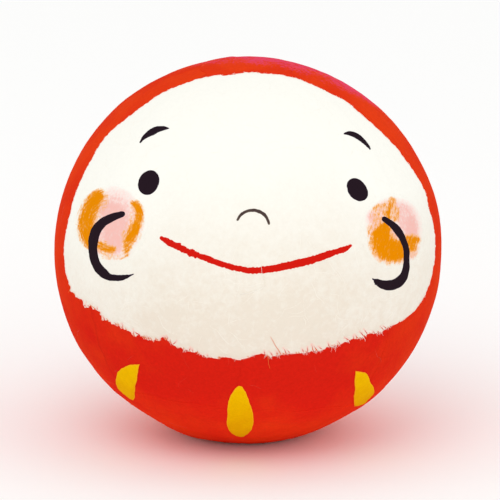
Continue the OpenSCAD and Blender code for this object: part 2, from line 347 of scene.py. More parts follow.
def placed(way, radius):
    """Points in metres at the given directions and radii in mm, and never below the foot."""
    points = CENTRE + way * np.asarray(radius)[..., None]
    points[..., 2] = np.maximum(points[..., 2], 0)
    return points * MM


# ---------------------------------------------------------------- flat drawings and sheets


def from_drawing(points, radius=BALL_R):
    """Directions of the flat face drawing's points, as seen on a ball of the given radius."""
    points = np.asarray(points, float)[:, :2] / radius
    depth = np.sqrt(np.maximum(1 - (points ** 2).sum(1), 0))
    return np.column_stack([points, depth]) @ FACE_AXES


def chart_axes(middle):
    """Axes of a flat chart of the ball round one direction: right, up and out."""
    out = unit(np.asarray(middle, float))
    right = np.cross([0, 0, 1] if abs(out[2]) < 0.95 else [0, 1, 0], out)
    right = unit(right)
    return np.array([right, np.cross(out, right), out])


def flatten(way, axes):
    """Chart coordinates in mm; distances from the chart's middle are true."""
    local = way @ axes.T
    angle = np.arccos(np.clip(local[:, 2], -1, 1))
    flat = local[:, :2] / np.maximum(np.linalg.norm(local[:, :2], axis=1), 1e-12)[:, None]
    return flat * angle[:, None] * BALL_R


def wrap(flat, axes):
    """Directions of chart coordinates."""
    far = np.linalg.norm(flat, axis=1) / BALL_R
    sine = np.sinc(far / np.pi) / BALL_R
    return np.column_stack([flat * sine[:, None], np.cos(far)]) @ axes


FACE_CHART = chart_axes(from_drawing([(0, 6)])[0])


def in_space(flat):
    """Flat points with a third coordinate of 0."""
    return np.column_stack([flat, np.zeros(len(flat))])


def spline(points, closed, step):
    """A smooth curve through the points, with a point about every step along it."""
    p = np.asarray(points, float)
    count = len(p)
    spans = count if closed else count - 1
    curve = []
    for i in range(spans):
        ends = [i - 1, i, i + 1, i + 2]
        ends = [e % count if closed else min(max(e, 0), count - 1) for e in ends]
        a, b, c, d = (p[e] for e in ends)
        t = np.linspace(0, 1, 24, endpoint=False)[:, None]
        curve.append(((2 * b) + (c - a) * t + (2 * a - 5 * b + 4 * c - d) * t ** 2
                      + (3 * b - a - 3 * c + d) * t ** 3) / 2)
    curve = np.vstack(curve + ([p[:1]] if closed else [p[-1:]]))
    along = np.concatenate([[0], np.cumsum(np.linalg.norm(np.diff(curve[:, :2], axis=0), axis=1))])
    stops = np.linspace(0, along[-1], max(8, int(round(along[-1] / step))) + 1)
    if closed:
        stops = stops[:-1]
    return np.column_stack([np.interp(stops, along, curve[:, k]) for k in range(p.shape[1])])


def stroke_line(stroke, step=0.15):
    """Outline of a brush stroke, with its round ends."""
    c = spline(stroke, False, step)
    run = np.gradient(c[:, :2], axis=0)
    side = unit(np.column_stack([-run[:, 1], run[:, 0]])) * c[:, 2:3] / 2
    ahead = unit(run)
    turn = np.radians(np.linspace(-60, 60, 5))[:, None]
    end = c[-1, :2] + c[-1, 2] / 2 * (np.cos(turn) * ahead[-1] - np.sin(turn) * unit(side[-1]))
    start = c[0, :2] + c[0, 2] / 2 * (-np.cos(turn) * ahead[0] + np.sin(turn) * unit(side[0]))
    outline = np.vstack([c[:, :2] + side, end, (c[:, :2] - side)[::-1], start])
    return even(outline, step)


def even(outline, step):
    """The same closed outline with evenly spaced points."""
    ring = np.vstack([outline, outline[:1]])
    along = np.concatenate([[0], np.cumsum(np.linalg.norm(np.diff(ring, axis=0), axis=1))])
    stops = np.linspace(0, along[-1], max(12, int(along[-1] / step)) + 1)[:-1]
    return np.column_stack([np.interp(stops, along, ring[:, k]) for k in (0, 1)])


def oval_line(oval, step=0.2):
    x, y, width, height, lean = oval
    a = np.linspace(0, 2 * np.pi, 90, endpoint=False)
    lean = math.radians(lean)
    u, v = width * np.cos(a), height * np.sin(a)
    turned = [x + u * math.cos(lean) + v * math.sin(lean), y - u * math.sin(lean) + v * math.cos(lean)]
    return even(np.column_stack(turned), step)


def roughened(outline, amounts, seed):
    """The outline pushed in and out: amounts is a list of (size, height), each height one number
    or one for each point."""
    run = np.roll(outline, -1, 0) - np.roll(outline, 1, 0)
    side = unit(np.column_stack([run[:, 1], -run[:, 0]]))
    if signed_area(outline) < 0:
        side = -side
    spots = in_space(outline)
    push = sum(height * waves(spots, size, seed + k) for k, (size, height) in enumerate(amounts))
    return outline + side * np.asarray(push)[:, None]


def signed_area(outline):
    x, y = outline.T
    return 0.5 * float((x * np.roll(y, -1) - np.roll(x, -1) * y).sum())


def inside(points, outline):
    """Which points lie within a closed outline."""
    result = np.zeros(len(points), bool)
    for (x0, y0), (x1, y1) in zip(outline, np.roll(outline, -1, 0)):
        if y0 != y1:
            crosses = (y0 > points[:, 1]) != (y1 > points[:, 1])
            result ^= crosses & (points[:, 0] < (x1 - x0) * (points[:, 1] - y0) / (y1 - y0) + x0)
    return result


def edge_distance(points, outline):
    """Distance in mm from each point to the nearest point of the outline."""
    tree = kdtree.KDTree(len(outline))
    for i, p in enumerate(outline):
        tree.insert((p[0], p[1], 0), i)
    tree.balance()
    return np.array([tree.find((p[0], p[1], 0))[2] for p in points])


def hexagonal(low, high, spacing):
    """Evenly spread points in a rectangle."""
    rows = np.arange(low[1], high[1], spacing * math.sqrt(0.75))
    across = np.arange(low[0], high[0], spacing)
    x = across[None, :] + (np.arange(len(rows)) % 2)[:, None] * spacing / 2
    return np.column_stack([x.ravel(), np.repeat(rows, len(across))])


def cut_sheet(outline, spacing, rim=0):
    """Points and triangles of a flat sheet cut to a closed outline, twice as fine within the given
    distance of its rim."""
    grid = np.empty((0, 2))
    for pitch, near, far in ((spacing / 2, 0, rim), (spacing, rim, math.inf)):
        if far > near:
            spots = hexagonal(outline.min(0), outline.max(0), pitch)
            spots = spots[inside(spots, outline)]
            edge = edge_distance(spots, outline)
            grid = np.vstack([grid, spots[(edge > max(near, 0.45 * pitch)) & (edge <= far)]])
    points = np.vstack([outline, grid])
    n = len(outline)
    edges = [(i, (i + 1) % n) for i in range(n)]
    made = geometry.delaunay_2d_cdt([Vector(p) for p in points], edges, [], 1, 1e-6)
    flat = np.array([tuple(v) for v in made[0]])
    faces = [tuple(f) for f in made[2]]
    if faces and signed_area(flat[list(faces[0])]) < 0:
        faces = [f[::-1] for f in faces]
    return flat, faces


def in_scene(name, data):
    """A new object of a mesh, light or camera, linked to the scene."""
    thing = bpy.data.objects.new(name, data)
    bpy.context.scene.collection.objects.link(thing)
    return thing


def closed_sheet(name, top, bottom, faces):
    """A mesh object from a sheet's upper and lower points, in metres, closed round its rim."""
    n = len(top)
    under = [tuple(i + n for i in reversed(f)) for f in faces]
    sides = {(f[k - 1], f[k]) for f in faces for k in range(len(f))}
    walls = [(b, a, a + n, b + n) for a, b in sorted(sides) if (b, a) not in sides]
    mesh = bpy.data.meshes.new(name)
    mesh.from_pydata(np.vstack([top, bottom]).tolist(), [], list(faces) + under + walls)
    mesh.shade_smooth()
    mesh.set_sharp_from_angle(angle=math.radians(55))
    return in_scene(name, mesh)


def ball_sheet(name, way, top, bottom, faces):
    """A closed sheet between two radii, in mm, along the given directions."""
    upper, lower = (placed(way, radius).reshape(-1, 3) for radius in (top, bottom))
    return closed_sheet(name, upper, lower, faces)


def note(piece, **numbers):
    """Keep named numbers for the shader, each one for the whole piece or one for each upper point.
    The point under an upper point gets the same."""
    count = len(piece.data.vertices) // 2
    for name, values in numbers.items():
        values = np.broadcast_to(np.ravel(values), count)
        values = np.concatenate([values, values]).astype(np.float32)
        piece.data.attributes.new(name, "FLOAT", "POINT").data.foreach_set("value", values)


def settle(piece, material, slot, *nodes):
    """Give a finished piece its material and its place in the frame."""
    piece.data.materials.clear()
    piece.data.materials.append(bpy.data.materials[material])
    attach(piece, "root")
    if nodes:
        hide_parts(*nodes)


# ---------------------------------------------------------------- materials


def add(tree, kind, feeds=None, out=None, **settings):
    """Add a node with its settings, feed its inputs with values or sockets, and return an output."""
    node = tree.nodes.new(kind)
    for key, value in settings.items():
        setattr(node, key, value)
    for key, value in (feeds or {}).items():
        named = [s for s in node.inputs if s.identifier == key] or [node.inputs[key]]
        if isinstance(value, bpy.types.NodeSocket):
            tree.links.new(value, named[0])
        else:
            named[0].default_value = value
    live = [s for s in node.outputs if s.enabled and out in (None, s.name)]
    return live[0] if live else None


def per_mm(size):
    """Scale of a pattern on Object coordinates whose features are this many mm across."""
    return 1 / (size * MM)


class Nodes:
    """A node tree, with short ways to add the nodes that papers and fibres share."""
    def __init__(self, tree):
        self.tree = tree

    def add(self, kind, feeds=None, out=None, **settings):
        return add(self.tree, kind, feeds, out, **settings)

    def math(self, operation, *values, clamp=False):
        feeds = dict(zip(("Value", "Value_001", "Value_002"), values))
        return self.add("ShaderNodeMath", feeds, operation=operation, use_clamp=clamp)

    def vector(self, operation, *values, **feeds):
        feeds.update(zip(("Vector", "Vector_001"), values))
        out = "Value" if operation in ("DISTANCE", "LENGTH", "DOT_PRODUCT") else "Vector"
        return self.add("ShaderNodeVectorMath", feeds, out, operation=operation)

    def ramp(self, value, low, high, start=0.0, end=1.0, ease=False, clamp=True):
        """Carry the value's range from low to high over to the range from start to end."""
        feeds = {"Value": value, "From Min": low, "From Max": high, "To Min": start, "To Max": end}
        return self.add("ShaderNodeMapRange", feeds, clamp=clamp,
                        interpolation_type="SMOOTHSTEP" if ease else "LINEAR")


class Paper(Nodes):
    """A matt, fibrous material, with its shader and its Object coordinates."""
    def __init__(self, name, roughness, sheen=0.0):
        self.material = bpy.data.materials.new(name)
        self.material.use_nodes = True
        super().__init__(self.material.node_tree)
        self.shader = self.tree.nodes["Principled BSDF"]
        for key, value in (("Roughness", roughness), ("IOR", CELLULOSE_IOR), ("Sheen Weight", sheen),
                           ("Specular IOR Level", 0.012), ("Sheen Roughness", 0.5)):
            self.shader.inputs[key].default_value = value
        self.shader.inputs["Sheen Tint"].default_value = (1, 1, 1, 1)
        self.place = self.add("ShaderNodeTexCoord", out="Object")

    def noise(self, size, detail=2.0, rough=0.5, bend=0.0, at=None):
        """Noise with features of this many mm, on the Object coordinates unless others are given."""
        return self.add("ShaderNodeTexNoise", {
            "Vector": self.place if at is None else at, "Scale": per_mm(size), "Detail": detail,
            "Roughness": rough, "Distortion": bend})

    def named(self, name):
        return self.add("ShaderNodeAttribute", out="Fac", attribute_name=name)

    def blend(self, share, first, second):
        feeds = {"Factor_Float": share, "A_Color": first, "B_Color": second}
        return self.add("ShaderNodeMix", feeds, data_type="RGBA")

    def lit(self, colour, bright):
        """The colour made lighter or darker."""
        return self.add("ShaderNodeHueSaturation", {"Color": colour, "Value": bright})

    def strands(self, size, width, patchy):
        """Thin winding lines, like fibres in the sheet: 1 on a line and 0 between lines."""
        off = self.math("ABSOLUTE", self.math("SUBTRACT", self.noise(size, 1.5, 0.45, 1.2), 0.5))
        line = self.ramp(off, 0.0, width, 1.0, 0.0, ease=True)
        return self.math("MULTIPLY", line, self.ramp(self.noise(patchy, 0.0), 0.45, 0.6, ease=True))

    def finish(self, colour, relief=None, strength=0.3, depth=0.05):
        """Wire the colour, and the relief with its depth in mm, to the shader."""
        self.tree.links.new(colour, self.shader.inputs["Base Color"])
        if relief is not None:
            bump = self.add("ShaderNodeBump", {
                "Strength": strength, "Distance": depth * MM, "Height": relief})
            self.tree.links.new(bump, self.shader.inputs["Normal"])


def dyed_washi(colours):
    """Kozo washi dyed by hand and pasted wet: matt, with dye that pools in clouds, fine fibres that
    take the dye less and a deeper red where two sheets overlap. Painted shade deepens the red low on
    the front and along folded strip edges, painted light lifts it towards the crown, the sides and
    the foot, and a painted pink sheen lies at the crown."""
    paper = Paper("dyed washi", 0.9)
    # Painted shade low on the front and painted light towards the crown and the sides: the red is
    # deepest round the point wet, low on the front. Each sheet's tone differs a little
    wet = CENTRE + BALL_R * np.array([0, -math.cos(0.55), -math.sin(0.55)])
    rise = paper.ramp(paper.vector("DISTANCE", paper.place, tuple(wet * MM)), 12 * MM, 78 * MM, ease=True)
    cloud = paper.ramp(paper.noise(11, 3.0, 0.55), 0.3, 0.7, -0.3, 0.3)
    lift = paper.math("ADD", rise, paper.math("MULTIPLY_ADD", paper.named("tone"), 0.18, cloud))
    # Painted light: the red is lighter and brighter towards the foot, near the floor
    height = paper.add("ShaderNodeSeparateXYZ", {"Vector": paper.place}, out="Z")
    painted_foot_light = paper.ramp(height, 3 * MM, 26 * MM, 1.0, 0.0, ease=True)
    lift = paper.math("MULTIPLY_ADD", painted_foot_light, 0.5, lift, clamp=True)
    colour = paper.blend(lift, colours.red_deep_and_shade, colours.red)
    double = paper.math("MULTIPLY", paper.named("double"), 0.3)
    colour = paper.blend(double, colour, colours.red_deep_and_shade)
    torn = paper.named("torn")
    wisp = paper.ramp(paper.noise(1.0, 3.0, 0.7, 0.6), 0.35, 0.65)
    colour = paper.blend(paper.math("MULTIPLY", wisp, torn, clamp=True), colour, colours.red_thin)
    # A painted pink sheen lies along the crown, wider than it is deep, and breaks up at its rim
    crown = CENTRE + BALL_R * unit(np.array([12, 43.4, 0]) @ FACE_AXES)
    off = paper.vector("SUBTRACT", paper.place, tuple(crown * MM))
    off = paper.vector("LENGTH", paper.vector("MULTIPLY", off, (0.55, 1, 1)))
    near = paper.ramp(off, 3 * MM, 17 * MM, 1.0, 0.0)
    crown_sheen = paper.math("MULTIPLY_ADD", paper.noise(9, 1.0), 1.4, near)
    crown_sheen = paper.math("MULTIPLY_ADD", paper.noise(0.75, 2.0, 0.6, 0.8), 2.4, crown_sheen)
    crown_sheen = paper.ramp(crown_sheen, 1.95, 2.55, 0.0, 0.85, ease=True)
    crown_sheen = paper.math("MULTIPLY", crown_sheen, paper.ramp(near, 0.02, 0.25))
    colour = paper.blend(crown_sheen, colour, colours.crown_sheen_pink)
    fleck = paper.noise(0.7, 3.0, 0.65)
    line = paper.strands(5.0, 0.012, 4.0)
    bright = paper.ramp(fleck, 0.3, 0.7, 0.93, 1.06)
    # torn brightens the pale torn edges and paints shade along the folded ones
    for extra, share in ((line, 0.09), (painted_foot_light, 0.2), (torn, 0.1)):
        bright = paper.math("MULTIPLY_ADD", extra, share, bright)
    paper.finish(paper.lit(colour, bright), paper.math("MULTIPLY_ADD", line, 0.8, fleck), 0.25)


def undyed(paper, colours):
    """Colour and relief of undyed kozo washi: warm fibre clouds with paler fibres, deepened low on the
    face by painted shade and whitened at its sides by painted light. The cheeks' washes lie on the same
    paper."""
    # Painted shade: the warm tint grows low on the face; painted light: it fades towards the sides
    height = paper.vector("DOT_PRODUCT", paper.place, (-0.08, 0, 1))
    low = paper.ramp(height, 30 * MM, 80 * MM, 1.1, 0.0, ease=True)
    sideways = paper.math("ABSOLUTE", paper.add("ShaderNodeSeparateXYZ", {"Vector": paper.place}, out="X"))
    sides = paper.ramp(sideways, 14 * MM, 38 * MM, 0.0, 0.4, ease=True)
    low = paper.math("SUBTRACT", low, sides, clamp=True)
    cloud = paper.ramp(paper.noise(6, 6.0, 0.72), 0.3, 0.7, 0.75, 1.2)
    bits = paper.ramp(paper.noise(1.5, 4.0, 0.7, 0.5), 0.35, 0.65, -0.12, 0.16)
    warm_and_shade = paper.math("ADD", paper.math("MULTIPLY", low, cloud), paper.math("MULTIPLY", bits, low),
                      clamp=True)
    colour = paper.blend(warm_and_shade, colours.white, colours.white_warm_and_shade)
    lines = paper.math("MAXIMUM", paper.strands(6.0, 0.010, 5.0), paper.strands(2.4, 0.02, 2.5))
    fleck = paper.noise(0.8, 3.0, 0.7)
    bright = paper.math("MULTIPLY_ADD", lines, 0.02, paper.ramp(fleck, 0.3, 0.7, 0.985, 1.01))
    return paper.lit(colour, bright), paper.math("MULTIPLY_ADD", lines, 0.9, fleck)


def face_washi(colours):
    """Undyed kozo washi, torn by hand and pasted over the red: matt and warm white, with the red
    showing faintly through its thin torn edge."""
    paper = Paper("undyed washi", 0.85)
    colour, relief = undyed(paper, colours)
    depth = paper.math("MULTIPLY_ADD", paper.noise(1.1, 3.0, 0.7), 1.1, paper.named("edge_mm"))
    thin = paper.ramp(depth, 0.45, 1.15, 0.9, 0.0, ease=True)
    paper.finish(paper.blend(thin, colour, colours.edge_pink), relief)


def cheek_wash(colours):
    """Pink watercolour under orange from a nearly dry brush, on the face's own washi: the orange
    breaks into streaks along the brush's way, and both fade out into the bare paper."""
    paper = Paper("cheek watercolour on washi", 0.85)
    colour, relief = undyed(paper, colours)
    brush = paper.add("ShaderNodeUVMap", uv_map="brush")
    blot = paper.noise(0.7, 4.0, 0.75)
    broken = paper.math("MULTIPLY", paper.math("ADD", paper.noise(0.42, 3.0, 0.65, at=brush), blot), 0.5)
    # Each wash: its colours where it is thin and thick, the noise that breaks it and by how much,
    # and the amounts of colour at which it starts to show, covers and is deepest
    washes = (("pink", colours.pink, colours.pink_deep, blot, 0.14, 0.05, 0.85, 1.15),
              ("orange", colours.orange_thin, colours.orange, broken, 0.42, 0.1, 0.9, 1.25))
    for name, thin, thick, noise, ragged, start, full, deep in washes:
        laid = paper.named(name)
        amount = paper.math("ADD", laid, paper.ramp(noise, 0.4, 0.6, -ragged, ragged, clamp=False))
        cover = paper.math("MULTIPLY", paper.ramp(amount, start, full), paper.ramp(laid, 0.0, 0.12))
        depth = paper.ramp(amount, (start + full) / 2, deep, ease=True)
        colour = paper.blend(cover, colour, paper.blend(depth, thin, thick))
    paper.finish(paper.lit(colour, paper.ramp(blot, 0.35, 0.65, 0.965, 1.02)), relief)


def yellow_washi(colours):
    """Yellow-dyed washi, cut and pasted: matt, darker in patches that grow towards its foot, with a
    lighter, orange-tinged rim where the dye is thin."""
    paper = Paper("yellow washi", 0.8)
    deep = paper.math("MULTIPLY", paper.noise(3.5, 4.0, 0.6), paper.named("foot"))
    colour = paper.blend(paper.ramp(deep, 0.15, 0.6), colours.yellow, colours.yellow_deep)
    rim = paper.ramp(paper.named("edge_mm"), 0.05, 0.3, 0.75, 0.0)
    colour = paper.blend(rim, colour, colours.yellow_thin)
    fleck = paper.noise(0.6, 3.0, 0.7)
    line = paper.strands(3.0, 0.015, 3.0)
    paper.finish(paper.lit(colour, paper.ramp(fleck, 0.3, 0.7, 0.95, 1.04)),
                 paper.math("MULTIPLY_ADD", line, 0.8, fleck), 0.35)


def brushed_ink(name, thick, thin, wet):
    """Ink brushed on washi: it soaks in, so it is nearly matt, with a slight gleam where it pooled
    and a thinner colour along its edges and in the paper's hollows."""
    paper = Paper(name, 0.62)
    pool = paper.noise(1.3, 4.0, 0.65)
    deep = paper.math("MULTIPLY_ADD", pool, 0.5, paper.named("edge_mm"))
    colour = paper.blend(paper.ramp(deep, 0.2, 0.2 + wet, ease=True), thin, thick)
    paper.tree.links.new(paper.ramp(pool, 0.35, 0.7, 0.72, 0.5), paper.shader.inputs["Roughness"])
    paper.finish(colour, paper.noise(0.5, 3.0, 0.7), 0.4)


def kozo_fibre(name, tint, dark):
    """Bundles of kozo bark fibre: silky and pale, a little darker in places along their length."""
    paper = Paper(name, 0.7, sheen=0.2)
    paper.finish(paper.blend(paper.noise(2.5), tint, dark))


def layered_pulp(name, light, dark, grain, rough):
    """Pulp, card or clay inside the doll: matt, in two tones at the grain's size, with a rough skin."""
    paper = Paper(name, rough)
    cloud = paper.noise(grain, 5.0, 0.65)
    paper.finish(paper.blend(cloud, dark, light), cloud, 0.6, 0.15)


# ---------------------------------------------------------------- the papers and the painting


def grid_faces(rows, columns, closed):
    """Faces of a grid of points, wound so that they face outwards."""
    last = columns if closed else columns - 1
    return [(r * columns + c, r * columns + (c + 1) % columns,
             (r + 1) * columns + (c + 1) % columns, (r + 1) * columns + c)
            for r in range(rows - 1) for c in range(last)]


def under(level, over):
    """Bottom radius of a red sheet: thin where it lies over another, and full elsewhere."""
    return level - SUNK - (WASHI_T - SUNK) * (1 - over)


class DARUMA_OT_strips(bpy.types.Operator):
    """Paste the strips of dyed washi round the ball, each over the edge of the one before"""
    bl_idname = "daruma.strips"
    bl_label = "Red strips"

    def execute(self, context):
        sizes = context.scene.daruma_sizes
        lap, ridge = sizes.lap / MM, sizes.ridge / MM
        latitude = np.linspace(BASE_LAT - math.radians(8), CROWN_LAT + math.radians(3), 250)[:, None]
        across = BALL_R * np.cos(latitude)
        # The columns crowd towards the torn edge
        share = (np.exp(1.4 * np.linspace(0, 1, 56)) - 1) / (math.exp(1.4) - 1)
        for number in range(1, STRIPS + 1):
            spots = in_space(np.column_stack([latitude * BALL_R, np.full_like(latitude, 40 * number)]))
            tear = 0.45 * waves(spots, 9, sizes.seed) + 0.14 * waves(spots, 1.5, sizes.seed + 1)
            start = (number - 1) * TURN - (lap / 2 + tear[:, None]) / across
            end = number * TURN + lap / 2 / across
            azimuth = start + (end - start) * share
            way = towards(azimuth, latitude)
            inwards = (azimuth - start) * across
            over = 1 - smooth(inwards, lap, lap + 1.5)
            thin = smooth(inwards, -0.3, 0.8)
            level = red_top(way)
            piece = ball_sheet(f"washi_strip_{number}", way, level + ridge * over * (0.35 + 0.65 * thin),
                               under(level, over), grid_faces(*azimuth.shape, closed=False))
            # A negative edge value paints a shade line along the strip's folded edge
            torn = STRIP_EDGES[number - 1] * (1 - smooth(inwards, 0.1, 1.2))
            note(piece, double=over * thin, torn=torn, tone=STRIP_TONES[number - 1])
            settle(piece, "dyed washi", "red_washi", f"red_strip_{number}")
        return {"FINISHED"}


class DARUMA_OT_base_paper(bpy.types.Operator):
    """Paste the round base paper over the strips' lower ends and draw it in under the foot"""
    bl_idname = "daruma.base_paper"
    bl_label = "Base paper"

    def execute(self, context):
        sizes = context.scene.daruma_sizes
        azimuth = np.linspace(-math.pi, math.pi, 640, endpoint=False)[None, :]
        spots = towards(azimuth[0], BASE_LAT) * BALL_R
        tear = 0.5 * waves(spots, 10, sizes.seed + 4) + 0.15 * waves(spots, 1.6, sizes.seed + 5)
        # The torn upper edge sits a little askew
        upper = BASE_LAT - math.radians(4) * np.sin(azimuth) + tear / BALL_R
        lower = -math.acos(FOOT_R / BALL_R)
        latitude = lower + (upper - lower) * (1 - (1 - np.linspace(0, 1, 70)[:, None]) ** 1.4)
        way = towards(azimuth, latitude)
        below = (upper - latitude) * BALL_R
        over = 1 - smooth(below, 5, 7)
        thin = smooth(below, -0.3, 0.8)
        level = red_top(way)
        top = level + sizes.ridge / MM * over * (0.5 + 0.8 * thin)
        faces = grid_faces(*latitude.shape, closed=True)
        piece = ball_sheet("washi_base", way, top, under(level, over), faces)
        torn = 0.6 * smooth(np.abs(azimuth), 0.8, 1.8) * (1 - smooth(below, 0.1, 1.2))
        note(piece, double=over * thin, torn=torn, tone=-0.3)
        settle(piece, "dyed washi", "red_washi", "base_paper")
        return {"FINISHED"}


class DARUMA_OT_crown_paper(bpy.types.Operator):
    """Paste the round crown paper over the strips' upper ends"""
    bl_idname = "daruma.crown_paper"
    bl_label = "Crown paper"

    def execute(self, context):
        sizes = context.scene.daruma_sizes
        radius = (math.pi / 2 - CROWN_LAT) * BALL_R
        outline = oval_line((0, 0, radius, radius * 0.96, 0), 0.3)
        outline = roughened(outline, [(9, 0.4), (2.5, 0.18), (0.9, 0.08)], sizes.seed + 8)
        flat, faces = cut_sheet(outline, 0.6)
        way = wrap(flat, chart_axes((0, 0, 1)))
        edge = edge_distance(flat, outline)
        level = red_top(way)
        over = 1 - smooth(edge, 3, 5)
        piece = ball_sheet("washi_crown", way, level + sizes.ridge / MM * (1.0 + 0.4 * smooth(edge, 0, 0.8)),
                           level - SUNK - 0.2 * (1 - over), faces)
        torn = 0.6 * smooth(way[:, 1] * BALL_R, 0, 3) * (1 - smooth(edge, 0.1, 1.2))
        note(piece, double=over, torn=torn, tone=0.2)
        settle(piece, "dyed washi", "red_washi", "crown_paper")
        return {"FINISHED"}


class DARUMA_OT_foot_patch(bpy.types.Operator):
    """Paste the round foot patch that the doll stands on"""
    bl_idname = "daruma.foot_patch"
    bl_label = "Foot patch"

    def execute(self, context):
        sizes = context.scene.daruma_sizes
        outline = oval_line((0, 0, FOOT_R - 0.4, FOOT_R - 0.6, 0), 0.25)
        outline = roughened(outline, [(8, 0.25), (2, 0.12), (0.8, 0.06)], sizes.seed + 9)
        flat, faces = cut_sheet(outline, 0.6)
        edge = edge_distance(flat, outline)
        # Flat on the table in its middle, and lifted a little round its edge
        lift = 0.1 * smooth(FOOT_R - edge, FOOT_R - 1.8, FOOT_R)
        lift = lift + 0.012 * (1 + waves(in_space(flat), 3, 31)) / 2
        lower = np.column_stack([flat, np.clip(lift, 0, None)])
        upper = np.column_stack([flat, lift + WASHI_T * (0.4 + 0.6 * smooth(edge, 0, 1))])
        piece = closed_sheet("washi_foot", upper * MM, lower * MM, faces)
        note(piece, double=0.2, tone=0)
        settle(piece, "dyed washi", "red_washi", "foot_patch")
        return {"FINISHED"}


def raggedness(points):
    """How far the paper's edge is torn into tufts: not at the brow, somewhat along the chin's left
    and most along its right."""
    x, y = points[:, 0], points[:, 1]
    sides = 0.7 * (1 - smooth(x, -12, -7)) + smooth(x, 2, 8)
    return smooth(-y, 5, 14) * (0.25 + 0.75 * sides) * (1 - smooth(x, 30, 36))


def slit(outline, seed):
    """Narrow slits between the torn tufts, which lean to the drawing's left."""
    rng = np.random.default_rng(seed)
    ring, rest = [], 0
    for start, end, share in zip(outline, np.roll(outline, -1, 0), raggedness(outline)):
        ring.append(start)
        chance, depth, lean = rng.random(), rng.uniform(0.35, 1.0), rng.uniform(0.1, 0.9)
        rest -= 1
        if rest > 0 or chance > 0.3 * share ** 2:
            continue
        run = (end - start) / np.linalg.norm(end - start)
        inward = np.array([run[1], -run[0]])
        way = inward + lean * np.array([-1, 0.2])
        way *= (0.35 + 1.3 * share * depth) / np.linalg.norm(way)
        middle = (start + end) / 2
        bend = middle + 0.5 * way + 0.12 * depth * inward
        ring += [bend - 0.06 * run, middle + way, bend + 0.06 * run]
        rest = 3
    return np.array(ring)


def face_outline(sizes):
    """The face's torn outline: quiet over the brow, ragged along the chin."""
    outline = spline(FACE_LINE, True, 0.24)
    ragged = raggedness(outline)
    left = ragged * (1 - smooth(outline[:, 0], -10, -5))
    return roughened(outline, [
        (10, 0.12 + 0.06 * ragged), (3.2, 0.05 + 0.07 * ragged + 0.12 * left),
        (1.5, 0.05 + 0.06 * ragged + 0.2 * left), (0.7, 0.04 + 0.07 * ragged + 0.12 * left)],
        sizes.seed + 20)


class DARUMA_OT_face_paper(bpy.types.Operator):
    """Tear the white face paper to shape and paste it over the red"""
    bl_idname = "daruma.face_paper"
    bl_label = "Face paper"

    def execute(self, context):
        sizes = context.scene.daruma_sizes
        drawn = slit(face_outline(sizes), sizes.seed)
        outline = flatten(from_drawing(drawn, PAPER_SEEN), FACE_CHART)
        flat, faces = cut_sheet(outline, 0.66, rim=1.6)
        way = wrap(flat, FACE_CHART)
        edge = edge_distance(flat, outline)
        floor = BALL_R + swell(way) + seam_laps(way, sizes)
        top = floor + (face_top(way, sizes) - floor) * (0.3 + 0.7 * smooth(edge, 0, 1.4))
        piece = ball_sheet("face_washi", way, top, floor - 0.06, faces)
        note(piece, edge_mm=edge)
        settle(piece, "undyed washi", "white_washi", "face_paper")
        return {"FINISHED"}


def drawn_sheet(name, outline, spacing, radius, heights):
    """A sheet or film on the ball, cut to an outline of the face drawing that is seen at the given
    radius. heights gives its top and bottom radii from directions and distances to its edge."""
    way = from_drawing(outline, radius)
    axes = chart_axes(way.mean(0))
    rim = flatten(way, axes)
    flat, faces = cut_sheet(rim, spacing)
    way = wrap(flat, axes)
    edge = edge_distance(flat, rim)
    piece = ball_sheet(name, way, *heights(way, edge), faces)
    note(piece, edge_mm=edge)
    return piece, way, edge


class DARUMA_OT_petals(bpy.types.Operator):
    """Cut the yellow petals and paste them round the lower front"""
    bl_idname = "daruma.petals"
    bl_label = "Petals"

    def execute(self, context):
        sizes = context.scene.daruma_sizes
        ridge = sizes.ridge / MM

        def heights(way, edge):
            level = red_top(way) + 1.3 * ridge
            return level + 0.06 + 0.12 * smooth(edge, 0, 0.5), level - 1.3 * ridge - 0.05

        for side, line in (("left", PETAL_LEFT), ("middle", PETAL_MIDDLE), ("right", PETAL_RIGHT)):
            # The outer petals have one straight side
            outline = even(spline(line, side == "middle", 0.25), 0.25)
            outline = roughened(outline, [(3, 0.1), (0.9, 0.05)], sizes.seed + 40)
            name = f"petal_washi_{side}"
            piece, way, _ = drawn_sheet(name, outline, 0.45, BALL_R + WASHI_T, heights)
            height = way[:, 2]
            foot = 1 - (height - height.min()) / (height.max() - height.min())
            note(piece, foot=0.4 + 0.9 * foot)
            settle(piece, "yellow washi", "yellow_washi", f"petal_{side}")
        return {"FINISHED"}


